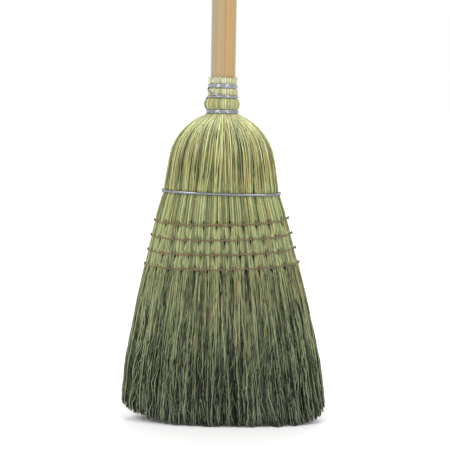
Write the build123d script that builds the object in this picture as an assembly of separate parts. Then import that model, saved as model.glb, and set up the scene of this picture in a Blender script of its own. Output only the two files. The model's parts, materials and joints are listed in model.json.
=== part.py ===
"""Stitched corn broom: straw head bound with wire and twine on a wooden handle.

Frame: +Z up the handle, X across the width of the head, -Y the front.
The origin lies on the handle's axis, in the plane of the lowest straw tips.
All sizes are in millimetres.
"""

from build123d import *
from math import atan2, cos, hypot, radians, sin, sqrt
import os

# --- Handle ---------------------------------------------------------------------------
handle_diameter = 28.6
handle_length = 1067.0
foot_depth = 92.0  # length of the handle inside the straw
foot_taper = 8.6  # how much thinner the handle is at its foot
foot_gap = 0.2  # round the foot, between wood and straw

# --- Heights ----------------------------------------------------------------------------
straw_length = 407.0  # from the tips to the cut edge of the collar
neck_height = 41.7
shoulder_height = 47.3  # of the curve from the neck to the flanks
band_drop = 132.1  # from the collar's edge to the heavy wire
row_drops = (163.4, 181.0, 198.3, 215.5)  # from the collar's edge to each row's two ends
hinge_drop = 257.0  # from the collar's edge to the axis about which the skirt bends

collar_top_z = straw_length
neck_base_z = collar_top_z - neck_height
shoulder_z = neck_base_z - shoulder_height
band_z = collar_top_z - band_drop
stitch_rows_z = tuple(collar_top_z - drop for drop in row_drops)
hinge_z = collar_top_z - hinge_drop

# --- Widths and depths of the straw ------------------------------------------------------
collar_diameter = handle_diameter + 5.2
neck_waist_diameter = handle_diameter + 6.6
neck_bulge_diameter = handle_diameter + 12.0
neck_base_diameter = handle_diameter + 10.6
shoulder_width = 121.8
shoulder_depth = 60.0
band_width = 136.4
band_depth = 57.0
first_row_width = 155.4
first_row_depth = 51.0
last_row_width = 180.4
last_row_depth = 47.0
hinge_width = 200.6
hinge_depth = 50.0
mid_skirt_width = 232.8
mid_skirt_depth = 61.0
tip_width = 251.0
tip_depth = 68.0
skirt_lean = 6.5  # how far the tips stand to the right of the handle's axis
shoulder_start_angle = 20.0  # slope of the shoulder's curve beside the neck
shoulder_end_angle = 78.0  # slope where it meets the flank
shoulder_steps = 7  # flat-sided steps down that curve

# --- Tips and tufts ------------------------------------------------------------------------
tuft_count = 12
tuft_gap_top = 0.5
tuft_gap_tip = 2.0
left_corner_run = 95.0  # the tips are worn round: a long corner on the left and a short one on the right
left_corner_rise = 26.0
right_corner_run = 38.0
right_corner_rise = 22.0

# --- Joint between head and skirt ------------------------------------------------------------
hinge_radius = hinge_depth / 2 + 1.0
hinge_gap = 0.4

# --- Binding wire ------------------------------------------------------------------------------
neck_wire_diameter = 1.9
neck_wire_gap = 0.15
neck_wraps = (  # foot of the winding above the neck's base, turns, diameter of the straw under it
    (0.3, 3, handle_diameter + 6.2),
    (18.45, 2, handle_diameter + 5.4),
    (29.8, 3, handle_diameter + 2.8),
)
core_wrap_turns = 4
riser_angle = 8.0  # from the left edge towards the front
band_wire_diameter = 3.2
band_wire_gap = 0.1
band_wire_tilt = 0.95  # the left end's height above the band's middle
band_knob_diameter = band_wire_diameter + 2.4

# --- Inside of the head ----------------------------------------------------------------------
core_depth = 30.0
core_drop = 20.3  # from the neck's base to the core's flat top
core_neck_diameter = handle_diameter + 2.4
core_neck_height = 16.0
cover_width = 104.0  # of the cover straw, at the height of the hinge

core_top_z = neck_base_z - core_drop
core_wraps_z = core_top_z + core_neck_height / 2

# --- Lacing twine --------------------------------------------------------------------------------
belt_diameter = 2.2
belt_gap = 0.1
belt_sag = 5.0  # the middle of a row below its two ends
belt_tilt = 2.4  # the right end's height above the row's middle
belt_proud = 0.2  # of the twine's centre, outside the straw
belt_knob_diameter = 2 * belt_diameter
stitch_spacing = 15.2
stitch_shifts = (-4.9, 3.4, 6.7, -1.7)  # of the stitch nearest the middle, one for each row
stitch_reach = 0.84  # share of a row's half width that holds stitches
stitch_diameter = 1.6
stitch_gap = 0.1
stitch_height = belt_diameter + stitch_diameter + 0.8
stitch_slant = 3.5

# --- Nail ----------------------------------------------------------------------------------------
nail_diameter = 2.0
nail_length = 16.0
nail_head_diameter = 4.8
nail_head_thickness = 0.8
nail_gap = 0.05

FAR = 300.0  # beyond every side of the head


# --- Shape of the straw ------------------------------------------------------------------------------
def lean_at(z):
    """Shift of the straw's middle to the right at height z."""
    return skirt_lean * max(0.0, band_z - z) / band_z


def end_radius(half_width, half_depth):
    """Radius of the two end arcs of an oval."""
    return half_depth**2 / half_width


def side_radius(half_width, half_depth):
    """Radius of the front and back arcs of an oval."""
    return half_width * (half_width + half_depth) / (2 * half_depth)


def meeting_point(half_width, half_depth):
    """Where an end arc of an oval meets a side arc, as x and y."""
    across = (half_width + half_depth) / half_width
    along = (half_width + 2 * half_depth) / (2 * half_depth)
    length = hypot(across, along)
    radius = end_radius(half_width, half_depth)
    return half_width - radius + radius * across / length, radius * along / length


def oval_reach(half_width, half_depth, x):
    """Distance of an oval's front from its long axis, at x."""
    meeting_x = meeting_point(half_width, half_depth)[0]
    if abs(x) <= meeting_x:
        radius = side_radius(half_width, half_depth)
        return sqrt(radius**2 - x**2) - (radius - half_depth)
    radius = end_radius(half_width, half_depth)
    return sqrt(max(0.0, radius**2 - (abs(x) - half_width + radius) ** 2))


def half_oval(half_width, half_depth, side):
    """Three tangent arcs from the right end to the left end, on side -1 or +1 of the long axis."""
    x, y = meeting_point(half_width, half_depth)
    radius = end_radius(half_width, half_depth)
    half_turn = atan2(y, x - half_width + radius) / 2
    end_x = half_width - radius + radius * cos(half_turn)
    end_y = radius * sin(half_turn)
    right = ThreePointArc((half_width, 0), (end_x, side * end_y), (x, side * y))
    middle = ThreePointArc((x, side * y), (0, side * half_depth), (-x, side * y))
    left = ThreePointArc((-x, side * y), (-end_x, side * end_y), (-half_width, 0))
    return [right, middle, left]


def oval(half_width, half_depth):
    """Face of an oval made of tangent arcs."""
    edges = half_oval(half_width, half_depth, -1) + half_oval(half_width, half_depth, 1)
    return make_face(Curve() + edges)


def shoulder_stations():
    """Heights and half sizes down the curve of the shoulders, from the neck to the flanks."""
    start = radians(shoulder_start_angle)
    end = radians(shoulder_end_angle)
    stations = []
    for step in range(shoulder_steps + 1):
        angle = start + step / shoulder_steps * (end - start)
        out = (sin(angle) - sin(start)) / (sin(end) - sin(start))
        up = (cos(angle) - cos(end)) / (cos(start) - cos(end))
        z = shoulder_z + up * (neck_base_z - shoulder_z)
        half_width = (neck_base_diameter + out * (shoulder_width - neck_base_diameter)) / 2
        half_depth = (neck_base_diameter + out * (shoulder_depth - neck_base_diameter)) / 2
        stations.append((z, half_width, half_depth))
    return stations


def straw_stations():
    """Heights and half sizes of the whole straw below the neck."""
    return shoulder_stations() + [
        (band_z, band_width / 2, band_depth / 2),
        (stitch_rows_z[0], first_row_width / 2, first_row_depth / 2),
        (stitch_rows_z[-1], last_row_width / 2, last_row_depth / 2),
        (hinge_z, hinge_width / 2, hinge_depth / 2),
        (hinge_z / 2, mid_skirt_width / 2, mid_skirt_depth / 2),
        (0.0, tip_width / 2, tip_depth / 2),
    ]


def half_size_at(z):
    """Half width and half depth of the straw at height z, straight between the stations."""
    stations = straw_stations()
    for upper, lower in zip(stations, stations[1:]):
        if upper[0] >= z >= lower[0]:
            share = (upper[0] - z) / (upper[0] - lower[0])
            half_width = upper[1] + share * (lower[1] - upper[1])
            half_depth = upper[2] + share * (lower[2] - upper[2])
            return half_width, half_depth
    raise ValueError(f"no straw at {z}")


def straw_envelope():
    """All of the straw below the neck, as one shape to be divided."""
    sections = [Pos(lean_at(z), 0, z) * oval(width, depth) for z, width, depth in straw_stations()]
    return loft(sections, ruled=True)


def wrap_room(winding):
    """Height of the groove that a winding of the neck lies in."""
    return winding[1] * neck_wire_diameter + neck_wire_gap


def wrap_middle_z(winding):
    """Height of the middle of a winding of the neck."""
    return neck_base_z + winding[0] + wrap_room(winding) / 2


def neck():
    """Straw of the neck, with a groove for each wire winding."""
    grooves = []
    for winding in neck_wraps:
        foot_z = wrap_middle_z(winding) - wrap_room(winding) / 2
        grooves.append((foot_z, foot_z + wrap_room(winding), winding[2] / 2))
    lower, middle, upper = grooves
    bulge_z = (lower[1] + middle[0]) / 2
    waist_radius = neck_waist_diameter / 2
    outline = [
        Line((0, neck_base_z), (lower[2], neck_base_z)),
        Line((lower[2], neck_base_z), (lower[2], lower[1])),
        Line((lower[2], lower[1]), (lower[2] + neck_wire_diameter, lower[1])),
        ThreePointArc(
            (lower[2] + neck_wire_diameter, lower[1]),
            (neck_bulge_diameter / 2, bulge_z),
            (middle[2] + neck_wire_diameter, middle[0]),
        ),
        Line((middle[2] + neck_wire_diameter, middle[0]), (middle[2], middle[0])),
        Line((middle[2], middle[0]), (middle[2], middle[1])),
        Line((middle[2], middle[1]), (waist_radius, middle[1])),
        Line((waist_radius, middle[1]), (waist_radius, upper[0])),
        Line((waist_radius, upper[0]), (upper[2], upper[0])),
        Line((upper[2], upper[0]), (upper[2], upper[1])),
        Line((upper[2], upper[1]), (collar_diameter / 2, upper[1])),
        Line((collar_diameter / 2, upper[1]), (collar_diameter / 2, collar_top_z)),
        Line((collar_diameter / 2, collar_top_z), (0, collar_top_z)),
        Line((0, collar_top_z), (0, neck_base_z)),
    ]
    return revolve(Plane.XZ * make_face(Curve() + outline), Axis.Z)


# --- Handle and nail ---------------------------------------------------------------------------------
def handle_blank(gap):
    """The handle as turned, with its foot larger by a gap all round."""
    radius = handle_diameter / 2
    foot_z = collar_top_z - foot_depth
    top_z = foot_z + handle_length
    outline = [
        Line((0, foot_z - gap), (radius - foot_taper / 2 + gap, foot_z - gap)),
        Line((radius - foot_taper / 2 + gap, foot_z - gap), (radius + gap, collar_top_z)),
        Line((radius + gap, collar_top_z), (radius + gap, top_z - radius)),
        RadiusArc((radius + gap, top_z - radius), (0, top_z + gap), -radius - gap),
        Line((0, top_z + gap), (0, foot_z - gap)),
    ]
    return revolve(Plane.XZ * make_face(Curve() + outline), Axis.Z)


def nail_shape(gap):
    """Nail driven into the back of the neck just above the wire, with a gap round its shank."""
    upper = neck_wraps[2]
    nail_z = wrap_middle_z(upper) + wrap_room(upper) / 2 + nail_diameter / 2 + nail_gap
    seat_y = max(collar_diameter, upper[2] + 2 * neck_wire_diameter) / 2 + neck_wire_gap + nail_gap
    shank = Cylinder(nail_diameter / 2 + gap, nail_length, align=(Align.CENTER, Align.CENTER, Align.MIN))
    under_head = (Align.CENTER, Align.CENTER, Align.MAX)
    head = Cylinder(nail_head_diameter / 2, nail_head_thickness, align=under_head)
    return Pos(0, seat_y, nail_z) * Rot(90, 0, 0) * (shank + head)


# --- Wire ----------------------------------------------------------------------------------------------
def wrap(middle_z, turns, inner_diameter):
    """Touching turns of wire round the axis, one solid."""
    wire_radius = neck_wire_diameter / 2
    centre = inner_diameter / 2 + neck_wire_gap + wire_radius
    overlap = 0.04  # lets neighbouring turns join
    pitch = neck_wire_diameter - overlap
    first_z = middle_z - pitch * (turns - 1) / 2
    rings = [Pos(0, 0, first_z + turn * pitch) * Torus(centre, wire_radius) for turn in range(turns)]
    return rings[0].fuse(*rings[1:])


def wire_along(path, diameter):
    """Round wire or twine along a path of tangent arcs."""
    start = Plane(origin=path @ 0, z_dir=path % 0)
    return sweep(start * Circle(diameter / 2), path=path)


def on_neck(radius, degrees, z):
    """Point on the neck at an angle from the front towards the left."""
    return (-radius * sin(radians(degrees)), -radius * cos(radians(degrees)), z)


def neck_winding_wire():
    """The three windings of the neck and the two strands that climb from one to the next."""
    wire_radius = neck_wire_diameter / 2
    low_z, middle_z, high_z = [wrap_middle_z(winding) for winding in neck_wraps]
    low_radius, middle_radius, high_radius = [
        straw_diameter / 2 + neck_wire_gap + wire_radius for _, _, straw_diameter in neck_wraps
    ]
    side = 90 - riser_angle
    low_riser = ThreePointArc(
        on_neck(low_radius + 0.3, side, low_z + neck_wire_diameter),
        on_neck(neck_bulge_diameter / 2 + wire_radius + neck_wire_gap, side, (low_z + middle_z) / 2),
        on_neck(middle_radius + 0.3, side, middle_z - wire_radius),
    )
    high_riser = ThreePointArc(
        on_neck(middle_radius + 0.3, riser_angle, middle_z + wire_radius),
        on_neck(middle_radius + wire_radius, 4 * riser_angle, (middle_z + high_z) / 2),
        on_neck(high_radius + 0.6, 7 * riser_angle, high_z - neck_wire_diameter),
    )
    windings = [wrap(wrap_middle_z(winding), winding[1], winding[2]) for winding in neck_wraps]
    risers = [wire_along(riser, neck_wire_diameter) for riser in (low_riser, high_riser)]
    return windings[0].fuse(*windings[1:], *risers)


def band_plane():
    """Plane of the heavy wire across the shoulders."""
    slope = band_wire_tilt / (band_width / 2)
    return Plane(origin=(0, 0, band_z), x_dir=(1, 0, -slope), z_dir=(slope, 0, 1))


def band_wire(diameter):
    """Heavy wire round the head, with the turned knob at each side edge."""
    edges = half_oval(band_width / 2, band_depth / 2, -1) + half_oval(band_width / 2, band_depth / 2, 1)[::-1]
    loop = wire_along(band_plane() * Wire(edges), diameter)
    extra = diameter - band_wire_diameter
    knobs = []
    for side in (-1, 1):
        knob_z = band_z - side * band_wire_tilt
        knobs.append(Pos(side * band_width / 2, 0, knob_z) * Sphere((band_knob_diameter + extra) / 2))
    return loop.fuse(*knobs)


# --- Lacing twine ------------------------------------------------------------------------------------------
class Row:
    """A row of lacing: its belt of twine is lower in the middle of the front and of the back."""

    def __init__(self, end_z, shift):
        self.end_z = end_z
        self.shift = shift
        half_width, half_depth = half_size_at(end_z)
        self.half_width = half_width + belt_proud
        self.half_depth = half_depth + belt_proud
        self.slant_depth = hypot(self.half_depth, belt_sag)
        self.middle_x = lean_at(end_z)

    def plane(self, side):
        """Plane of the front half (side -1) or back half (side +1) of the belt."""
        across = Vector(self.half_width, 0, belt_tilt)
        outward = Vector(0, side * self.half_depth, -belt_sag)
        normal = across.cross(outward) * side
        return Plane(origin=(self.middle_x, 0, self.end_z), x_dir=across, z_dir=normal)

    def belt(self, diameter):
        """Belt of twine round the head with a knob at each side edge."""
        halves = []
        for side in (-1, 1):
            path = self.plane(side) * Wire(half_oval(self.half_width, self.slant_depth, side))
            halves.append(wire_along(path, diameter))
        extra = diameter - belt_diameter
        for side in (-1, 1):
            centre = (self.middle_x + side * self.half_width, 0, self.end_z + side * belt_tilt)
            halves.append(Pos(*centre) * Sphere((belt_knob_diameter + extra) / 2))
        return halves[0].fuse(*halves[1:])

    def reach(self, x):
        """Share of the row's half depth that the belt has at x from the middle of the row."""
        return oval_reach(self.half_width, self.slant_depth, x) / self.slant_depth

    def beside_belt(self, x, side, proud, above):
        """Point out from the belt's line and above it, at x from the middle of the row."""
        step = 0.5
        slope = (self.reach(x + step) - self.reach(x - step)) * self.half_depth / (2 * step)
        stretch = hypot(1, slope)
        depth = self.reach(x) * self.half_depth + proud / stretch
        z = self.end_z + belt_tilt * x / self.half_width - belt_sag * self.reach(x) + above
        return (self.middle_x + x - proud * slope / stretch, side * depth, z)

    def stitch_places(self):
        """X of every stitch, from the middle of the row."""
        limit = stitch_reach * self.half_width
        first = -int((limit + self.shift) / stitch_spacing)
        last = int((limit - self.shift) / stitch_spacing)
        return [self.shift + number * stitch_spacing for number in range(first, last + 1)]

    def stitch_post(self, x, radius, length):
        """Twine, or its hole, that passes through the head just above the belt."""
        place = self.beside_belt(x, 0, 0, stitch_height / 2)
        return Pos(*place) * Rot(90, 0, 0) * Cylinder(radius, length)

    def stitch_holes(self):
        """Straight holes through the straw for every stitch."""
        radius = stitch_diameter / 2 + stitch_gap
        return [self.stitch_post(x, radius, FAR) for x in self.stitch_places()]

    def stitches(self):
        """Twine of every stitch: through the head and over the belt, front and back."""
        on_straw = stitch_diameter / 2 + stitch_gap
        over_belt = belt_diameter / 2 + stitch_diameter / 2 + stitch_gap
        solids = []
        for x in self.stitch_places():
            post_length = 2 * self.reach(x) * self.half_depth + 2 * on_straw
            stitch = self.stitch_post(x, stitch_diameter / 2, post_length)
            for side in (-1, 1):
                arch = ThreePointArc(
                    self.beside_belt(x, side, on_straw, stitch_height / 2),
                    self.beside_belt(x + stitch_slant / 2, side, over_belt, 0),
                    self.beside_belt(x + stitch_slant, side, on_straw, -stitch_height / 2),
                )
                stitch = stitch.fuse(wire_along(arch, stitch_diameter))
            solids.append(stitch)
        return solids


# --- Division of the straw ---------------------------------------------------------------------------------
def prism(points):
    """Solid with an outline in X and Z that runs past the front and the back of the head."""
    face = make_face(Polyline(*points, close=True))
    return Pos(0, FAR, 0) * extrude(Plane.XZ * face, FAR * 2)


def cover_half_width(z):
    """Half width of the straw between the two shoulders, at height z."""
    share = (neck_base_z - z) / (neck_base_z - hinge_z)
    return (neck_base_diameter + share * (cover_width - neck_base_diameter)) / 2


def middle_prism():
    """The neck and the wedge between the shoulders."""
    half_neck = cover_half_width(neck_base_z)
    half_low = cover_half_width(0)
    top_z = collar_top_z + 1
    right = [(FAR, neck_base_z), (half_neck, neck_base_z), (half_low, 0)]
    left = [(-x, z) for x, z in reversed(right)]
    return prism([(-FAR, top_z), (FAR, top_z)] + right + left)


def below(z):
    """Half space below a height."""
    return Box(2 * FAR, 2 * FAR, 2 * FAR, align=(Align.CENTER, Align.CENTER, Align.MAX)).moved(Pos(0, 0, z))


def hinge_cylinder(radius):
    """Cylinder on the skirt's bending axis."""
    return Pos(0, 0, hinge_z) * Rot(0, 90, 0) * Cylinder(radius, 2 * FAR)


def core_block():
    """Room of the inner core between the two covers."""
    return Box(2 * FAR, core_depth, core_top_z, align=(Align.CENTER, Align.CENTER, Align.MIN))


def core_neck(radius, clearance):
    """Round neck of the core, up the handle's foot."""
    height = core_neck_height + clearance
    return Pos(0, 0, core_top_z) * Cylinder(radius, height, align=(Align.CENTER, Align.CENTER, Align.MIN))


def head_straw(rows):
    """Core, covers and shoulders of the head, by node name."""
    foot_room = handle_blank(foot_gap)
    envelope = straw_envelope() - below(hinge_z) - hinge_cylinder(hinge_radius + hinge_gap)
    envelope = envelope + neck()
    grooves = [band_wire(band_wire_diameter + 2 * band_wire_gap)]
    grooves += [row.belt(belt_diameter + 2 * belt_gap) for row in rows]
    holes = [hole for row in rows for hole in row.stitch_holes()]
    wedge = middle_prism()
    middle = (envelope & wedge) - foot_room
    shoulders = envelope - wedge
    wire_room_radius = core_neck_diameter / 2 + neck_wire_gap + neck_wire_diameter + neck_wire_gap
    core = ((middle & core_block()) + core_neck(core_neck_diameter / 2, 0)) - foot_room
    covers = middle - core_block() - core_neck(wire_room_radius, neck_wire_gap)
    front_half = Box(2 * FAR, FAR, 4 * FAR, align=(Align.CENTER, Align.MAX, Align.CENTER))
    right_half = Box(FAR, 2 * FAR, 4 * FAR, align=(Align.MIN, Align.CENTER, Align.CENTER))
    nodes = {
        "inner_core": core,
        "cover_front": covers & front_half,
        "cover_back": covers - front_half - nail_shape(nail_gap),
        "shoulder_left": shoulders - right_half,
        "shoulder_right": shoulders & right_half,
    }
    return {name: piece - (grooves + holes) for name, piece in nodes.items()}


def corner(side, run, rise):
    """Rounded corner of the tips: its foot on the floor, its top at the skirt's edge, and the arc between."""
    foot = (side * (tip_width / 2 - run), 0)
    top = (side * tip_width / 2, rise)
    arc_radius = (run**2 + rise**2) / (2 * rise)
    arc = RadiusArc(foot, top, -arc_radius) if side > 0 else RadiusArc(top, foot, -arc_radius)
    return foot, top, arc


def tip_room():
    """Everything above the trimmed line of the tips."""
    left_foot, left_top, left_arc = corner(-1, left_corner_run, left_corner_rise)
    right_foot, right_top, right_arc = corner(1, right_corner_run, right_corner_rise)
    ceiling = 2 * FAR
    outline = [
        Line(left_foot, right_foot),
        right_arc,
        Line(right_top, (FAR, right_top[1])),
        Line((FAR, right_top[1]), (FAR, ceiling)),
        Line((FAR, ceiling), (-FAR, ceiling)),
        Line((-FAR, ceiling), (-FAR, left_top[1])),
        Line((-FAR, left_top[1]), left_top),
        left_arc,
    ]
    face = make_face(Curve() + outline)
    return Pos(skirt_lean, FAR, 0) * extrude(Plane.XZ * face, FAR * 2)


def tufts():
    """The loose straw below the last row, parted into tufts that touch nothing but the floor."""
    top_z = hinge_z + hinge_radius
    envelope = straw_envelope()
    skirt = (envelope & below(hinge_z)) + (envelope & hinge_cylinder(hinge_radius))
    skirt = skirt & tip_room()
    top_half = half_size_at(top_z)[0]
    tip_half = tip_width / 2
    nodes = {}
    for index in range(tuft_count):
        corners = []
        for edge in (index, index + 1):
            share = 2 * edge / tuft_count - 1
            inward = 1 if edge == index else -1
            top_x = lean_at(top_z) + share * top_half + inward * tuft_gap_top / 2
            tip_x = lean_at(0) + share * tip_half + inward * tuft_gap_tip / 2
            if edge in (0, tuft_count):
                top_x = tip_x = -inward * FAR
            corners.append((top_x, tip_x))
        (left_top, left_tip), (right_top, right_tip) = corners
        wedge = prism([(left_top, top_z), (right_top, top_z), (right_tip, 0), (left_tip, 0)])
        nodes[f"tuft_{index + 1:02d}"] = skirt & wedge
    return nodes


# --- Assembly --------------------------------------------------------------------------------------------
def build():
    """Every node of the broom, by name."""
    rows = [Row(z, shift) for z, shift in zip(stitch_rows_z, stitch_shifts)]
    nodes = {
        "handle": handle_blank(0) - nail_shape(nail_gap),
        "wire_nail": nail_shape(0),
        "core_winding_wire": wrap(core_wraps_z, core_wrap_turns, core_neck_diameter),
        "neck_winding_wire": neck_winding_wire(),
        "shoulder_band_wire": band_wire(band_wire_diameter),
    }
    nodes.update(head_straw(rows))
    for number, row in enumerate(rows, start=1):
        nodes[f"twine_belt_{number}"] = row.belt(belt_diameter)
        nodes[f"twine_stitches_{number}"] = Compound(children=row.stitches())
    nodes.update(tufts())
    return nodes


os.makedirs("parts", exist_ok=True)
for name, shape in build().items():
    export_step(shape, f"parts/{name}.step")
    print(name, round(shape.volume))
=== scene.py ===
import json
import math
from collections import namedtuple

import bpy
import numpy as np
from mathutils import Matrix, Vector


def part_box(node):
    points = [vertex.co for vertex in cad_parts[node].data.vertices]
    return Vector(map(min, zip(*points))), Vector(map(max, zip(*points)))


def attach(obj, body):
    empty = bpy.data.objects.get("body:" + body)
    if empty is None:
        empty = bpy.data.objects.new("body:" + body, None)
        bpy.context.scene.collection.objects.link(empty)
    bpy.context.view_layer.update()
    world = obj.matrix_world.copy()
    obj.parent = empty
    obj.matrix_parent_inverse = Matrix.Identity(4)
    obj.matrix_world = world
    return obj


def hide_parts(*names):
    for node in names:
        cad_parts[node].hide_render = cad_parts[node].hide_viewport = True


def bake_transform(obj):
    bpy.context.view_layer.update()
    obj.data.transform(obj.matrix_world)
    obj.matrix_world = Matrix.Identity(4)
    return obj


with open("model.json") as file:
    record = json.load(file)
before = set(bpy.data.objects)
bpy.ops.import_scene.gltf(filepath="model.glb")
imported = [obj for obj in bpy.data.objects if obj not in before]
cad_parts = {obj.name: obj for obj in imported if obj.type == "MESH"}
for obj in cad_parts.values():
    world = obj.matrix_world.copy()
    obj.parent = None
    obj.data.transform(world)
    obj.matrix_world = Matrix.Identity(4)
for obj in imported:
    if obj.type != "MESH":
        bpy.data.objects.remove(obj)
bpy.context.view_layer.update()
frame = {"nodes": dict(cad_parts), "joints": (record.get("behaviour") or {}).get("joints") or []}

bl_info = {
    "name": "Corn Broom",
    "version": (1, 0, 0),
    "blender": (4, 5, 0),
    "location": "3D View > Sidebar > Corn Broom",
    "description": "Builds the straw, wire, twine and wood of a stitched corn broom round its CAD frame",
    "category": "Add Mesh",
}

HEAD, SKIRT = "head", "skirt"
HINGE_Z = frame["joints"][0]["pos_m"][2]

# The straw's outline, the same sizes as the CAD model's.
COLLAR_TOP_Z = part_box("cover_front")[1].z
NECK_BASE_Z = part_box("shoulder_left")[1].z
SHOULDER_Z = NECK_BASE_Z - 0.0473
BAND_LOW, BAND_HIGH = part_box("shoulder_band_wire")
BAND_Z = (BAND_LOW.z + BAND_HIGH.z) / 2
BAND_TILT = 0.00095
HANDLE_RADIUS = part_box("handle")[1].x
NECK_BASE_RADIUS = HANDLE_RADIUS + 0.0053
SHOULDER_HALF = (0.0609, 0.0300)
BAND_HALF = (0.0682, 0.0285)
FIRST_ROW_HALF = (0.0777, 0.0255)
LAST_ROW_HALF = (0.0902, 0.0235)
HINGE_HALF = (0.1003, 0.0250)
MID_SKIRT_HALF = (0.1164, 0.0305)
TIP_HALF = (0.1255, 0.0340)
SKIRT_LEAN = 0.0065
SHOULDER_START, SHOULDER_END = math.radians(20), math.radians(78)
SHOULDER_STEPS = 12
COVER_HALF_AT_HINGE = 0.052

NECK_WIRE = 0.0019
WRAP_SLACK = 0.00015
# Windings of the neck: foot above the neck's base, turns, radius of the straw under the wire.
NECK_WRAPS = (
    (0.00030, 3, HANDLE_RADIUS + 0.0031),
    (0.01845, 2, HANDLE_RADIUS + 0.0027),
    (0.02980, 3, HANDLE_RADIUS + 0.0014),
)
NECK_BULGE_RADIUS = HANDLE_RADIUS + 0.0060
NECK_WAIST_RADIUS = HANDLE_RADIUS + 0.0033
COLLAR_RADIUS = HANDLE_RADIUS + 0.0026

# Rows of twine, numbered from the top.
ROW_DROPS = (0.1634, 0.1810, 0.1983, 0.2155)
ROW_Z = tuple(COLLAR_TOP_Z - drop for drop in ROW_DROPS)
ROW_TILT = 0.0024
ROW_SAG = 0.0050
STITCH_SPACING = 0.0152
STITCH_SHIFTS = (-0.0049, 0.0034, 0.0067, -0.0017)
STITCH_REACH = 0.84  # share of the half width that is sewn

TUFT_COUNT = 12
TRIM_LEFT = (0.095, 0.026)  # how far in from the edge the tips' rounded corner starts, and how far it rises
TRIM_RIGHT = (0.038, 0.022)

# Stalks of the head.
EVEN_Z = 0.300  # the stalks of the shoulders are spaced evenly at this height
DOME_Z = (0.3637, 0.3606, 0.3562, 0.3505, 0.3435, 0.3350, 0.3250, 0.3120, 0.2950, 0.2800, BAND_Z, 0.2690)
STALK_END_Z = (0.128, 0.176)
FAN_DROP = 0.030  # over this drop from the neck's base the stalks fan out
SPREAD_DROP = 0.095  # and over this one they drift apart
CROSSING_SHARE = 0.16  # stalks that run askew across their neighbours
CROSSING_ANGLE = 0.085
PINCH_Z = (0.288, 0.352)  # dark slots open between stalks where they are pinched
PINCH_REACH = 0.013


def paint(red, green, blue):
    """Scene colour of a swatch given in the 0 to 255 of a paint chart."""
    shares = [part / 255 for part in (red, green, blue)]
    return tuple(s / 12.92 if s <= 0.04045 else ((s + 0.055) / 1.055) ** 2.4 for s in shares)


# --- Sizes and colours that a user would change ---
def length(name, description, default):
    return bpy.props.FloatProperty(
        name=name, description=description, default=default, unit="LENGTH", precision=4
    )


def count(name, description, default):
    return bpy.props.IntProperty(name=name, description=description, default=default, min=1)


def colour(name, description, swatch):
    return bpy.props.FloatVectorProperty(
        name=name, description=description, default=paint(*swatch), size=3, subtype="COLOR", min=0, max=1
    )


class StrawSettings(bpy.types.PropertyGroup):
    """Sizes and colours of the straw"""

    neck_stalks: count("Neck stalks", "Stalks round the neck, in each of its two layers", 120)
    head_stalks: count("Head stalks", "Stalks over the shoulders, in the outer layer", 280)
    under_stalks: count("Under stalks", "Stalks over the shoulders, in the layer below", 230)
    band_stalks: count("Band stalks", "Stalks that come out from under the shoulder wire", 260)
    row_fibres: count("Row fibres", "Fibres that leave the stalks between the rows of twine", 900)
    skirt_fibres: count("Skirt fibres", "Fibres of the loose skirt", 5000)
    stalk_width: length("Stalk width", "Width of a stalk of straw", 0.0018)
    fibre_width: length("Fibre width", "Width of a fibre of the skirt", 0.0011)
    collar_colour: colour("Collar", "Cut ends of the collar", (234, 232, 192))
    neck_colour: colour("Neck", "Straw of the neck", (200, 198, 138))
    # The crown's colour is partly the straw's own paler colour and partly a painted highlight on the dome's
    # top.
    crown_and_highlight_colour: colour("Crown", "Straw that fans out from under the neck wire", (230, 233, 171))
    shoulder_colour: colour("Shoulders", "Straw of the shoulders", (192, 193, 129))
    band_colour: colour("Under the band", "Straw below the shoulder wire", (182, 188, 130))
    sewn_colour: colour("Sewn straw", "Straw between the rows of twine", (171, 178, 126))
    skirt_colour: colour("Skirt", "Straw of the skirt", (145, 156, 114))
    tip_colour: colour("Tips", "Straw at the tips", (138, 150, 122))
    # Painted shade: the colour given to the depths between the stalks and to the straw's heart.
    shade_colour: colour("Shade", "Depths between the stalks", (30, 38, 26))
    tan_colour: colour("Tan stalks", "Stalks that dried to tan", (200, 172, 112))


class HandleSettings(bpy.types.PropertyGroup):
    """Sizes and colours of the handle"""

    wood_colour: colour("Wood", "Lacquered wood", (181, 154, 104))
    grain_colour: colour("Grain", "Darker grain of the wood", (166, 132, 88))
    olive_colour: colour("Olive streak", "Grey-green streaks of the wood", (150, 142, 116))


class BindingSettings(bpy.types.PropertyGroup):
    """Sizes and colours of the wire and the twine"""

    neck_wire: length("Neck wire", "Diameter of the wire round the neck", NECK_WIRE)
    shoulder_wire: length("Shoulder wire", "Diameter of the wire across the shoulders", 0.0032)
    twine: length("Twine", "Diameter of the lacing twine", 0.0022)
    steel_colour: colour("Wire", "Galvanised wire", (160, 163, 172))
    twine_colour: colour("Twine", "Lacing twine", (146, 124, 96))
    twine_dark: colour("Twine shade", "Darker fibres of the twine", (80, 64, 54))
    twine_worn: colour("Worn twine", "Paler worn fibres of the twine", (170, 146, 112))


class StageSettings(bpy.types.PropertyGroup):
    """Camera, floor and lights"""

    distance: length("Camera distance", "From the camera to the middle of the view", 1.2)
    lens: bpy.props.FloatProperty(name="Lens", description="Focal length of the camera in mm", default=81.5)
    floor_colour: colour("Floor", "Pale floor", (240, 240, 240))


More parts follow.
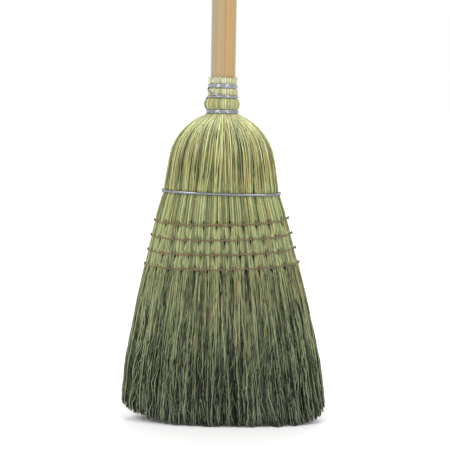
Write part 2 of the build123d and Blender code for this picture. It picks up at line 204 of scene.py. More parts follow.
# --- Shape of the straw ---
def head_outline():
    """Heights, half widths and half depths of the straw from the tips up to the neck's base."""
    stations = [
        (0.0, *TIP_HALF),
        (HINGE_Z / 2, *MID_SKIRT_HALF),
        (HINGE_Z, *HINGE_HALF),
        (ROW_Z[-1], *LAST_ROW_HALF),
        (ROW_Z[0], *FIRST_ROW_HALF),
        (BAND_Z, *BAND_HALF),
    ]
    first_sine, last_sine = math.sin(SHOULDER_START), math.sin(SHOULDER_END)
    first_cosine, last_cosine = math.cos(SHOULDER_START), math.cos(SHOULDER_END)
    for step in range(SHOULDER_STEPS, -1, -1):
        angle = SHOULDER_START + step / SHOULDER_STEPS * (SHOULDER_END - SHOULDER_START)
        out = (math.sin(angle) - first_sine) / (last_sine - first_sine)
        up = (math.cos(angle) - last_cosine) / (first_cosine - last_cosine)
        halves = [NECK_BASE_RADIUS + out * (half - NECK_BASE_RADIUS) for half in SHOULDER_HALF]
        stations.append((SHOULDER_Z + up * (NECK_BASE_Z - SHOULDER_Z), *halves))
    return stations


def wrap_span(number):
    """Foot and top of a winding of the neck."""
    foot, turns, _ = NECK_WRAPS[number]
    return NECK_BASE_Z + foot, NECK_BASE_Z + foot + turns * NECK_WIRE + WRAP_SLACK


def neck_outline():
    """Heights and radii of the straw up the neck, pressed in under each winding."""
    lower, middle, upper = [wrap_span(number) for number in range(3)]
    lower_radius, middle_radius, upper_radius = [radius for _, _, radius in NECK_WRAPS]
    soft = 0.0011  # height over which the straw swells out beside a winding
    lower_swell, middle_swell = 0.0016, 0.0018
    collar_taper, collar_flare = 0.0002, 0.0003
    return [
        (lower[0], lower_radius),
        (lower[1], lower_radius),
        (lower[1] + soft, lower_radius + lower_swell),
        ((lower[1] + middle[0]) / 2, NECK_BULGE_RADIUS),
        (middle[0] - soft, middle_radius + middle_swell),
        (middle[0], middle_radius),
        (middle[1], middle_radius),
        (middle[1] + soft, NECK_WAIST_RADIUS),
        (upper[0] - soft, NECK_WAIST_RADIUS),
        (upper[0], upper_radius),
        (upper[1], upper_radius),
        (upper[1] + soft, COLLAR_RADIUS - collar_taper),
        (COLLAR_TOP_Z, COLLAR_RADIUS + collar_flare),
    ]


HEAD_OUTLINE = np.array(head_outline())
NECK_OUTLINE = np.array(neck_outline())
OUTLINE_Z = np.append(HEAD_OUTLINE[:, 0], NECK_OUTLINE[:, 0])
OUTLINE_WIDTH = np.append(HEAD_OUTLINE[:, 1], NECK_OUTLINE[:, 1])
OUTLINE_DEPTH = np.append(HEAD_OUTLINE[:, 2], NECK_OUTLINE[:, 1])


def bell(distance, reach):
    """1 at no distance, falling smoothly to almost nothing at twice the reach."""
    return np.exp(-((distance / reach) ** 2))


def half_width_at(z):
    return np.interp(z, OUTLINE_Z, OUTLINE_WIDTH)


def half_depth_at(z):
    return np.interp(z, OUTLINE_Z, OUTLINE_DEPTH)


def lean_at(z):
    return SKIRT_LEAN * np.maximum(0, BAND_Z - z) / BAND_Z


def row_height(row, across):
    """Height of a row of twine, where across is the share of the half width from the middle."""
    across = np.clip(across, -1, 1)
    return ROW_Z[row] + ROW_TILT * across - ROW_SAG * np.sqrt(1 - across**2)


def stitch_offset(row, x):
    """Distance in x to the nearest stitch of a row, and 1 where the row is sewn or 0 where it isn't."""
    middle = lean_at(ROW_Z[row])
    part = (x - middle - STITCH_SHIFTS[row]) / STITCH_SPACING
    offset = (part - np.round(part)) * STITCH_SPACING
    reach = STITCH_REACH * half_width_at(ROW_Z[row]) + 0.5 * STITCH_SPACING
    return offset, (np.abs(x - middle) < reach).astype(float)


def trim_height(x):
    """Height of the cut tips: a long rounded corner on the left and a short one on the right."""
    height = 0
    for side, (run, rise) in ((-1, TRIM_LEFT), (1, TRIM_RIGHT)):
        beyond = np.clip((side * (x - SKIRT_LEAN) - TIP_HALF[0] + run) / run, 0, 1)
        height = height + rise * (1 - np.sqrt(1 - beyond**2))
    return height


def locks(x, z, seed, finest):
    """Smooth waves that neighbouring fibres share, mostly from -1 to 1; finest is in radians per metre."""
    rng = np.random.default_rng(seed)
    waves, slant = 6, 50
    total = 0
    for _ in range(waves):
        across, down = rng.uniform(0.3, 1) * finest, rng.uniform(-slant, slant)
        total = total + np.sin(across * x + down * z + rng.uniform(0, 2 * math.pi))
    return 2 * total / waves


# --- Meshes ---
def deselect():
    if bpy.context.object and bpy.context.object.mode != "OBJECT":
        bpy.ops.object.mode_set(mode="OBJECT")
    bpy.ops.object.select_all(action="DESELECT")


def select_only(obj):
    deselect()
    obj.select_set(True)
    bpy.context.view_layer.objects.active = obj


def in_edit_mode(obj, what, chosen):
    """Opens edit mode on obj with the vertices, edges or faces selected that chosen accepts."""
    select_only(obj)
    bpy.ops.object.mode_set(mode="EDIT")
    bpy.ops.mesh.select_mode(type=what)
    bpy.ops.mesh.select_all(action="DESELECT")
    bpy.ops.object.mode_set(mode="OBJECT")
    items = {"VERT": obj.data.vertices, "EDGE": obj.data.edges, "FACE": obj.data.polygons}[what]
    for item in items:
        item.select = chosen(item)
    bpy.ops.object.mode_set(mode="EDIT")


def settle(obj):
    """Puts the object's place into its mesh and leaves the object at the origin."""
    select_only(obj)
    bpy.ops.object.transform_apply(location=True, rotation=True, scale=True)
    return obj


def named(name):
    obj = bpy.context.object
    obj.name = obj.data.name = name
    return obj


def round_bar(name, sides, rings):
    """An upright bar of unit size, cut across into rings, and the height and angle of each of its points."""
    deselect()
    bpy.ops.mesh.primitive_cylinder_add(vertices=sides, radius=1, depth=1, end_fill_type="NGON")
    bar = named(name)
    points = bar.data.vertices

    def upright(edge):
        first, second = [points[index].co for index in edge.vertices]
        return abs(first.z - second.z) > 0.5

    if rings > 2:
        in_edit_mode(bar, "EDGE", upright)
        bpy.ops.mesh.subdivide(number_cuts=rings - 2)
        bpy.ops.object.mode_set(mode="OBJECT")
    place = np.array([point.co for point in bar.data.vertices])
    return bar, place[:, 2], np.arctan2(place[:, 1], place[:, 0])


def stalk_pattern(sides, rings):
    """One stalk, modelled as a round bar. Gives the ring and the angle of each point, and the faces."""
    bar, height, angle = round_bar("stalk_pattern", sides, rings)
    faces = [list(face.vertices) for face in bar.data.polygons]
    bpy.data.objects.remove(bar)
    return np.round((0.5 - height) * (rings - 1)).astype(int), angle, faces


def unit(vectors):
    return vectors / np.maximum(np.linalg.norm(vectors, axis=-1, keepdims=True), 1e-12)


def stalk_mesh(name, paths, outward, widths, thicknesses, tones, sides=4):
    """Mesh of many stalks. Paths and outward directions are (stalk, ring, 3); sizes are (stalk, ring);
    tones are (stalk) or (stalk, ring)."""
    stalks, rings = paths.shape[:2]
    ring, angle, faces = stalk_pattern(sides, rings)
    along = unit(np.gradient(paths, axis=1))
    across = unit(np.cross(along, outward))
    out = np.cross(across, along)
    centre = paths[:, ring]
    wide = across[:, ring] * (np.cos(angle)[None, :] * widths[:, ring] / 2)[..., None]
    thick = out[:, ring] * (np.sin(angle)[None, :] * thicknesses[:, ring] / 2)[..., None]
    points = (centre + wide + thick).reshape(-1, 3)
    per_stalk = len(ring)
    corners = np.concatenate(faces)
    totals = np.array([len(face) for face in faces])
    loops = (corners[None, :] + (np.arange(stalks) * per_stalk)[:, None]).ravel()
    loop_totals = np.tile(totals, stalks)
    mesh = bpy.data.meshes.new(name)
    mesh.vertices.add(len(points))
    mesh.vertices.foreach_set("co", points.astype(np.float32).ravel())
    mesh.loops.add(len(loops))
    mesh.loops.foreach_set("vertex_index", loops.astype(np.int32))
    mesh.polygons.add(len(loop_totals))
    loop_starts = np.concatenate([[0], np.cumsum(loop_totals)[:-1]])
    mesh.polygons.foreach_set("loop_start", loop_starts.astype(np.int32))
    mesh.polygons.foreach_set("use_smooth", np.ones(len(loop_totals), bool))
    mesh.update(calc_edges=True)
    for label, values in tones.items():
        attribute = mesh.attributes.new(label, "FLOAT", "POINT")
        spread = np.repeat(values, per_stalk) if values.ndim == 1 else values[:, ring].ravel()
        attribute.data.foreach_set("value", spread.astype(np.float32))
    if faces_look_inward(mesh, points, centre.reshape(-1, 3)):
        mesh.flip_normals()
    obj = bpy.data.objects.new(name, mesh)
    bpy.context.scene.collection.objects.link(obj)
    return obj


def faces_look_inward(mesh, points, centres):
    """True if most of a sample of side faces look towards the stalks' own middle lines."""
    sampled, every, side_corners = 400, 7, 4
    inward = 0
    for index in range(0, min(len(mesh.polygons), sampled), every):
        face = mesh.polygons[index]
        corners = list(face.vertices)
        if len(corners) == side_corners:
            outward = points[corners].mean(0) - centres[corners].mean(0)
            inward += -1 if np.dot(face.normal, outward) > 0 else 1
    return inward > 0


def tube(name, line, outward, diameter, sides):
    """Round wire along a line of points; outward is a direction that the line never runs along."""
    path = line[None]
    size = np.full(path.shape[:2], diameter)
    return stalk_mesh(name, path, np.broadcast_to(outward, path.shape), size, size, {}, sides)


def join(name, objects):
    deselect()
    for obj in objects:
        obj.select_set(True)
    bpy.context.view_layer.objects.active = objects[0]
    if len(objects) > 1:
        bpy.ops.object.join()
    return named(name)


# --- Finishes ---
class Value:
    """A number or colour that varies over a surface, with arithmetic for the numbers."""

    def __init__(self, finish, socket):
        self.finish = finish
        self.socket = socket

    def maths(self, operation, first, second):
        return self.finish.node("ShaderNodeMath", {"operation": operation}, {0: first, 1: second})

    def __add__(self, other):
        return self.maths("ADD", self, other)

    def __radd__(self, other):
        return self.maths("ADD", other, self)

    def __sub__(self, other):
        return self.maths("SUBTRACT", self, other)

    def __rsub__(self, other):
        return self.maths("SUBTRACT", other, self)

    def __mul__(self, other):
        return self.maths("MULTIPLY", self, other)

    def __rmul__(self, other):
        return self.maths("MULTIPLY", other, self)

    def __truediv__(self, other):
        return self.maths("DIVIDE", self, other)


class Finish:
    """A material while it is being made."""

    def __init__(self, name, **constants):
        self.material = bpy.data.materials.new(name)
        self.material.use_nodes = True
        self.tree = self.material.node_tree
        self.shader = self.tree.nodes["Principled BSDF"]
        for socket, value in constants.items():
            self.shader.inputs[socket.replace("_", " ")].default_value = value

    def node(self, kind, settings=None, inputs=None, output=0):
        """A node of a kind, with its settings set first and then its sockets given values or links."""
        made = self.tree.nodes.new(kind)
        for key, value in (settings or {}).items():
            if key == "stops":
                for _ in range(len(value) - 2):
                    made.color_ramp.elements.new(0.5)
                for element, (place, swatch) in zip(made.color_ramp.elements, value):
                    element.position = place
                    element.color = (*swatch, 1)
            else:
                setattr(made, key, value)
        for key, value in (inputs or {}).items():
            if isinstance(value, Value):
                self.tree.links.new(value.socket, made.inputs[key])
            else:
                made.inputs[key].default_value = value
        return Value(self, made.outputs[output])

    def coordinates(self):
        return self.node("ShaderNodeTexCoord", output="Object")

    def height(self):
        return self.node("ShaderNodeSeparateXYZ", None, {"Vector": self.coordinates()}, output="Z")

    def noise(self, stretch, detail=2.0, roughness=0.5):
        """Noise from 0 to 1, where stretch says how many patches of it fit in a metre along each axis."""
        place = self.node("ShaderNodeMapping", None, {"Vector": self.coordinates(), "Scale": stretch})
        inputs = {"Vector": place, "Scale": 1.0, "Detail": detail, "Roughness": roughness}
        return self.node("ShaderNodeTexNoise", None, inputs, output="Fac")

    def attribute(self, name):
        return self.node("ShaderNodeAttribute", {"attribute_name": name}, output="Fac")

    def ramp(self, value, stops):
        return self.node("ShaderNodeValToRGB", {"stops": stops}, {"Fac": value}, output="Color")

    def mix(self, share, first, second):
        """From the first colour, where share is 0, to the second, where it is 1."""
        first, second = [(*swatch, 1) if isinstance(swatch, tuple) else swatch for swatch in (first, second)]
        settings = {"data_type": "RGBA", "clamp_factor": True}
        first_colour, second_colour, mixed_colour = 6, 7, 2  # colour sockets share their names with others
        inputs = {0: share, first_colour: first, second_colour: second}
        return self.node("ShaderNodeMix", settings, inputs, mixed_colour)

    def bump(self, height, strength, distance):
        inputs = {"Strength": strength, "Distance": distance, "Height": height}
        return self.node("ShaderNodeBump", None, inputs)

    def wear(self, **sockets):
        """Links what varies over the surface to the shader."""
        for socket, value in sockets.items():
            self.tree.links.new(value.socket, self.shader.inputs[socket.replace("_", " ")])
        return self.material


def darker(values, share):
    return tuple(share * part for part in values)


def cooler(values, share):
    """A darker shade that turns a little towards blue-green, as straw in shadow does."""
    return tuple(share * part * tint for part, tint in zip(values, (0.90, 1.0, 1.06)))


def straw_finish(settings):
    """Dried broom corn: cream collar, yellow-green shoulders, dark olive tips, each stalk its own tone, with
    painted shade among the stalks.
    """
    finish = Finish("straw", IOR=1.45, Specular_IOR_Level=0.3)
    height = finish.height() / COLLAR_TOP_Z
    tone = finish.attribute("tone")
    streak = finish.noise((800, 800, 30), 3.0, 0.6)
    crimp_shade = finish.noise((900, 900, 125), 2.0, 0.6)
    patch = finish.noise((95, 95, 28), 2.0)
    # Share of the height, colour there, and the share of it that is left on the darkest stalks, in their
    # painted shade.
    shades_by_height = [
        (0.00, settings.tip_colour, 0.060),
        (0.30, settings.skirt_colour, 0.060),
        # In the upper skirt, just below the rows of twine, the sewn colour is darkened: painted shade.
        (0.43, darker(settings.sewn_colour, 0.74), 0.070),
        (0.475, settings.sewn_colour, 0.24),
        (0.53, settings.sewn_colour, 0.31),
        (0.64, settings.band_colour, 0.34),
        (0.76, settings.shoulder_colour, 0.20),
        # Painted highlight: the paler crown colour on the dome's top, over the straw's own colour.
        (0.875, settings.crown_and_highlight_colour, 0.26),
        (0.945, settings.neck_colour, 0.38),
        (0.98, settings.collar_colour, 0.42),
    ]
    lit = finish.ramp(height, [(place, tuple(shade)) for place, shade, _ in shades_by_height])
    # The dim ramp is painted shade: darker copies of the same colours, turned towards blue-green, as straw in
    # shadow is.
    dim = finish.ramp(height, [(place, cooler(shade, share)) for place, shade, share in shades_by_height])
    # Streaks run along each stalk, and its crimp, painted light and shade along the stalk, fades out towards
    # the collar.
    share = tone + (streak - 0.5) * 1.3 + (crimp_shade - 0.5) * 1.5 * (1.05 - height)
    # Each stalk's tone is partly its own colour and partly painted shade; with its streaks and crimp it picks
    # between the lit and the dim colour.
    base = finish.mix(share, dim, lit)
    # Some stalks dried to tan, and so did patches of straw, more of them higher up.
    dried_stalks = finish.attribute("dried") * (0.5 + streak) * (0.25 + height)
    dried = dried_stalks + (patch - 0.545) * 3.0 * height
    # Tan stalks get the same painted shade: a darker copy of the tan.
    dry_colour = finish.mix(share, darker(settings.tan_colour, 0.3), tuple(settings.tan_colour))
    tan = finish.mix(dried, base, dry_colour)
    # Painted shade: stalks deep among the others, in the lower layers and in the clefts below the stitches
    # turn towards the shade colour.
    deep = finish.mix(finish.attribute("deep"), tan, tuple(settings.shade_colour))
    relief = finish.bump(finish.noise((1600, 1600, 60), 2.0), 0.5, 0.0004)
    return finish.wear(Base_Color=deep, Roughness=0.42 + 0.3 * streak, Normal=relief)


def heart_finish(settings):
    """The inner mass of straw that shows between the outer stalks, coloured with painted shade."""
    finish = Finish("straw_heart", Roughness=0.8, Specular_IOR_Level=0.1)
    streak = finish.noise((420, 420, 14), 4.0, 0.65)
    fine = finish.noise((1200, 1200, 30), 2.0)
    shade = tuple(settings.shade_colour)
    base = finish.ramp(streak, [(0.30, darker(shade, 0.35)), (0.55, shade), (0.75, darker(shade, 1.9))])
    relief = finish.bump(streak + fine, 0.9, 0.0012)
    return finish.wear(Base_Color=base, Roughness=0.65 + 0.3 * fine, Normal=relief)


def wood_finish(settings):
    """Clear lacquer over straight-grained hardwood, a little darker low down."""
    finish = Finish("lacquered_wood", Coat_Roughness=0.2, Coat_IOR=1.45, Specular_IOR_Level=0.3)
    grain = settings.grain_colour
    broad = (finish.noise((-110, 110, 0.9), 2.0) - 0.5) * 3.8 + 0.5
    streak = (finish.noise((-420, 420, 2.4), 4.0, 0.6) - 0.5) * 3.4 + 0.5
    pores = finish.noise((1700, 1700, 26), 2.0, 0.7)
    warm = finish.mix(streak, tuple(grain), tuple(settings.wood_colour))
    olive = finish.mix(broad - 0.35, warm, tuple(settings.olive_colour))
    darker_low_down = finish.mix((0.62 - finish.height()) * 0.6, olive, darker(grain, 0.8))
    base = finish.mix((pores - 0.55) * 1.8, darker_low_down, darker(grain, 0.5))
    relief = finish.bump(pores, 0.15, 0.0002)
    lacquer = 0.25 + 0.2 * broad
    return finish.wear(Base_Color=base, Roughness=0.36 + 0.2 * streak, Coat_Weight=lacquer, Normal=relief)


def steel_finish(settings):
    """Galvanised wire: a mottled zinc skin with drawn scratches, brighter towards the top."""
    finish = Finish("galvanised_wire", Metallic=1.0)
    mottle = finish.noise((900, 900, 900), 3.0, 0.6)
    drawn = finish.noise((220, 220, 2600), 2.0)
    shares = ((0.30, 0.5), (0.48, 0.85), (0.60, 1.15), (0.75, 1.8))
    zinc = [(place, darker(settings.steel_colour, share)) for place, share in shares]
    base = finish.ramp(mottle + (finish.height() - 0.385) * 0.9, zinc)
    relief = finish.bump(drawn, 0.08, 0.0001)
    return finish.wear(Base_Color=base, Roughness=0.08 + 0.22 * mottle, Normal=relief)


def twine_finish(settings):
    """Twisted lacing twine with paler worn fibres."""
    finish = Finish("twisted_cord", Specular_IOR_Level=0.25)
    fuzz = finish.noise((2600, 2600, 2600), 3.0, 0.6)
    patch = finish.noise((120, 120, 120), 2.0)
    share = fuzz * 0.7 + patch * 0.6 - 0.15
    base = finish.mix(share, tuple(settings.twine_dark), tuple(settings.twine_colour))
    pale = finish.mix((fuzz - 0.62) * 3.0, base, tuple(settings.twine_worn))
    relief = finish.bump(fuzz, 0.5, 0.0004)
    return finish.wear(Base_Color=pale, Roughness=0.6 + 0.3 * fuzz, Normal=relief)


def dress(obj, finish):
    obj.data.materials.clear()
    obj.data.materials.append(finish)


def finish_of(name, maker, settings):
    """The material of that name, made the first time that it is asked for."""
    return bpy.data.materials.get(name) or maker(settings)


def bend_at_hinge(obj):
    """Puts the straw's place into its mesh and leaves the object at the origin."""
    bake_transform(obj)


# --- Straw ---
def even_angles(number, half_width, half_depth, rng):
    """Angles round an oval, evenly spaced along its edge, with a little disorder."""
    fine = np.linspace(0, 2 * math.pi, 2000)
    disorder = 0.45  # of the spacing, to each side
    steps = np.hypot(half_width * np.sin(fine), half_depth * np.cos(fine))
    travelled = np.concatenate([[0], np.cumsum((steps[1:] + steps[:-1]) / 2)])
    spots = (np.arange(number) + rng.uniform(-disorder, disorder, number)) / number
    return np.interp(spots % 1, travelled / travelled[-1], fine)


def on_oval(angle, half_width, half_depth, middle, z):
    """Points on a level oval, and their outward directions."""
    x = middle + half_width * np.cos(angle)
    y = half_depth * np.sin(angle)
    outward = np.stack([np.cos(angle) / half_width, np.sin(angle) / half_depth, np.zeros_like(x)], -1)
    return np.stack([x, y, z + np.zeros_like(x)], -1), unit(outward)


def on_straw(angle, z, inset):
    """Points on the straw's outline and their outward directions; inset is the depth below the surface."""
    return on_oval(angle, half_width_at(z) - inset, half_depth_at(z) - inset, lean_at(z), z)


def pull_in(points, outward):
    """Draws the straw in under the rows of twine and parts it at every stitch."""
    belt_dent, belt_reach = 0.0013, 0.0034
    slot_dent, slot_half = 0.0019, 0.0026
    puff, puff_half = 0.0009, 0.0034  # the straw puffs out halfway between two stitches
    parting, parting_reach = 0.0013, 0.0028
    slot_above, slot_below, last_slot_below = 0.0038, 0.0066, 0.024
    wire_dent, wire_reach = 0.0016, 0.0042
    x, z = points[..., 0].copy(), points[..., 2]
    inward = np.zeros_like(x)
    aside = np.zeros_like(x)
    for row in range(len(ROW_Z)):
        middle = lean_at(ROW_Z[row])
        across = (x - middle) / half_width_at(ROW_Z[row])
        above = z - row_height(row, across)
        offset, sewn = stitch_offset(row, x)
        near = bell(above, belt_reach)
        last = row == len(ROW_Z) - 1
        slot = bell(above, np.where(above < 0, last_slot_below if last else slot_below, slot_above)) * sewn
        inward += belt_dent * near + slot_dent * slot * bell(offset, slot_half)
        inward -= puff * slot * (1 - near) * bell(np.abs(offset) - STITCH_SPACING / 2, puff_half)
        aside += np.sign(offset) * parting * slot * np.exp(-np.abs(offset) / parting_reach)
    inward += wire_dent * bell(z - BAND_Z, wire_reach)
    points = points - outward * inward[..., None]
    points[..., 0] += aside * np.abs(outward[..., 1])
    return points


def stalk_heights(across, start, ends):
    """Ring heights of a stalk: its first ones, a few at each row of twine, then on down to its end."""
    beside_row = (0.0062, 0.0022, -0.0028)
    rings = [np.full_like(across, z) for z in start]
    for row in range(len(ROW_Z)):
        for above in beside_row:
            rings.append(row_height(row, across) + above)
    foot = rings[-1]
    for share in (0.4, 1.0):
        rings.append(foot + share * (ends - foot))
    return np.stack(rings, -1)


# A layer of stalks: how many, their first heights, depth below the surface, painted shade, width as a share
# of the stalk width, and what is left of that width at the neck.
Layer = namedtuple("Layer", "number start inset dark width neck_width")


def lay_stalks(layer, stalk_width, rng):
    """Stalks of one layer: angle of each, paths, outward directions, widths, thicknesses and heights."""
    number = layer.number
    from_collar = layer.start[0] > NECK_BASE_Z + 0.01
    from_band = layer.start[0] < NECK_BASE_Z
    half = (1, 1) if from_collar else (half_width_at(EVEN_Z), half_depth_at(EVEN_Z))
    angle = even_angles(number, *half, rng)
    heights = stalk_heights(np.cos(angle), layer.start, rng.uniform(*STALK_END_Z, number))
    first = len(layer.start)
    if from_band:
        heights[:, :first] = BAND_Z + (heights[:, :first] - BAND_Z) * rng.uniform(0.05, 1.0, (number, 1))
    if from_collar:
        uneven_cut, proudest = 0.0010, 0.0014
        heights[:, 0] += np.minimum(rng.normal(0, uneven_cut, number), proudest)
    fan = np.clip((NECK_BASE_Z - heights) / FAN_DROP, 0, 1)
    spread = np.clip((NECK_BASE_Z - heights) / SPREAD_DROP, 0, 1)
    fan_angle, spread_angle, bowed = 0.030, 0.045, 0.0012
    drift = rng.normal(0, fan_angle, (number, 1)) * fan + rng.normal(0, spread_angle, (number, 1)) * spread
    crossing = rng.uniform(0, 1, (number, 1)) < CROSSING_SHARE
    drift += crossing * rng.choice([-1, 1], (number, 1)) * CROSSING_ANGLE * spread
    bow = rng.normal(0, bowed, (number, 1)) * np.sin(math.pi * spread)
    angles = angle[:, None] + drift + bow / half_width_at(heights)
    sunk, proud = 0.0010, 0.0006
    depth = layer.inset + rng.uniform(-proud, sunk, (number, 1)) * fan
    if from_band:
        depth[:, :3] += np.array([0.0045, 0.0022, 0.0008])  # their top ends are tucked in
    points, outward = on_straw(angles, heights, depth)
    points = pull_in(points, outward)
    wide = stalk_width * layer.width * rng.uniform(0.6, 1.35, (number, 1)) * np.ones_like(heights)
    narrowing = [0.2, 0.6, 1.0, 0.92, layer.neck_width]
    wide *= np.interp(heights, [0.12, 0.19, 0.27, 0.33, NECK_BASE_Z], narrowing)
    wide[:, -1] *= 0.4
    pinch = rng.uniform(*PINCH_Z, (number, 1))
    wide *= 1 - 0.5 * bell(heights - pinch, PINCH_REACH)
    return angle, points, outward, wide, wide * rng.uniform(0.45, 0.75, (number, 1)), heights


def which_part(angle):
    """Piece of the head that a stalk belongs to, as its place in HEAD_PARTS."""
    share = (NECK_BASE_Z - BAND_Z) / (NECK_BASE_Z - HINGE_Z)
    edge = NECK_BASE_RADIUS + share * (COVER_HALF_AT_HINGE - NECK_BASE_RADIUS)
    x = half_width_at(BAND_Z) * np.cos(angle)
    cover = np.where(np.sin(angle) < 0, 0, 1)
    return np.where(np.abs(x) < edge, cover, np.where(x < 0, 2, 3))


HEAD_PARTS = ("cover_front", "cover_back", "shoulder_left", "shoulder_right")


def shades(rng, number, dark):
    """Tone of each stalk, how far it dried to tan, and how much painted shade it gets."""
    dried_share = 0.10
    dried = np.where(rng.uniform(0, 1, number) < dried_share, rng.uniform(0.2, 0.8, number), 0)
    return {"tone": rng.uniform(0.0, 1.0, number), "dried": dried, "deep": dark}


def chosen_stalks(name, mine, paths, outward, wide, thick, tones, sides=4):
    """Mesh of those stalks that mine picks out."""
    mine_tones = {label: values[mine] for label, values in tones.items()}
    return stalk_mesh(name, paths[mine], outward[mine], wide[mine], thick[mine], mine_tones, sides)


def head_layers(settings):
    """The layers of stalks, from the collar and from under the neck wire and the shoulder wire."""
    beside_winding = 0.0012
    over_neck = [COLLAR_TOP_Z, COLLAR_TOP_Z - 0.0022]
    for winding in (2, 1, 0):
        foot, top = wrap_span(winding)
        over_neck += [top + beside_winding, top, foot, foot - beside_winding]
        if winding == 1:
            over_neck.append((wrap_span(0)[1] + foot) / 2)
    from_collar = [*over_neck, *DOME_Z]
    from_wire = [NECK_BASE_Z + 0.004, NECK_BASE_Z + 0.0008, *DOME_Z]
    from_band = [0.3120, 0.3030, 0.2930, 0.2850, 0.2790, BAND_Z + 0.001]
    return [
        Layer(settings.neck_stalks, from_collar, 0.0007, 0.0, 0.80, 1.00),
        Layer(settings.neck_stalks, from_collar, 0.0016, 0.35, 0.90, 1.00),
        Layer(settings.head_stalks, from_wire, 0.0005, 0.0, 0.95, 0.45),
        Layer(settings.under_stalks, from_wire, 0.0022, 0.50, 1.15, 0.60),
        Layer(settings.band_stalks, from_band, 0.0012, 0.1, 0.95, 0.70),
    ]


class BROOM_OT_head_straw(bpy.types.Operator):
    """Stalks of the collar, the shoulders and the sewn straw"""

    bl_idname = "broom.head_straw"
    bl_label = "Head straw"

    def execute(self, context):
        settings = context.scene.broom_straw
        rng = np.random.default_rng(14)
        finish = finish_of("straw", straw_finish, settings)
        batches = []
        for layer in head_layers(settings):
            angle, *laid, heights = lay_stalks(layer, settings.stalk_width, rng)
            # Painted shade on the layers under the outer one, strongest at the middle of the dome and fading
            # out towards the shoulder wire.
            dark = layer.dark * np.interp(heights, [0.265, 0.30, 0.35, 0.37], [0.0, 1.0, 0.8, 0.6])
            batches.append((which_part(angle), *laid, shades(rng, layer.number, dark)))
        batches.append(row_fibres(settings, rng))
        for index, node in enumerate(HEAD_PARTS):
            made = [chosen_stalks("stalks", part == index, *laid) for part, *laid in batches]
            obj = join(f"{node}_straw", made)
            dress(obj, finish)
            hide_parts(node)
            bend_at_hinge(obj)
        return {"FINISHED"}


def row_fibres(settings, rng):
    """Fibres that leave the stalks under the first row of twine and run on into the skirt."""
    number = settings.row_fibres
    even_z = 0.22
    angle = even_angles(number, half_width_at(even_z), half_depth_at(even_z), rng)
    first_rise, above_row, below_row = 0.0015, 0.0040, -0.0028
    across = np.cos(angle)
    rings = [row_height(0, across) + first_rise, row_height(0, across) + below_row]
    for row in range(1, len(ROW_Z)):
        rings += [row_height(row, across) + above_row, row_height(row, across) + below_row]
    foot = rings[-1]
    ends = rng.uniform(0.05, 0.15, number)
    for share in (0.15, 0.35, 0.6, 0.8, 1.0):
        rings.append(foot + share * (ends - foot))
    heights = np.stack(rings, -1)
    loose_top, loose_drop, sway_angle, wave_size = 0.19, 0.1, 0.030, 0.0011
    loose = np.clip((loose_top - heights) / loose_drop, 0, 1)
    sway = rng.normal(0, sway_angle, (number, 1)) * loose
    turns, phase = rng.uniform(120, 300, (number, 1)), rng.uniform(0, 6.3, (number, 1))
    wave = wave_size * loose * np.sin(heights * turns + phase)
    inset = rng.uniform(0.0002, 0.0016, (number, 1)) + 0 * heights
    angles = angle[:, None] + sway + wave / half_width_at(heights)
    points, outward = on_straw(angles, heights, inset)
    points = pull_in(points, outward)
    width = settings.fibre_width * rng.uniform(0.7, 1.5, (number, 1)) * np.ones_like(heights)
    width[:, 0] *= 0.6
    width[:, -1] *= 0.25
    tones = shades(rng, number, np.zeros(number))
    return which_part(angle), points, outward, width, width * 0.7, tones


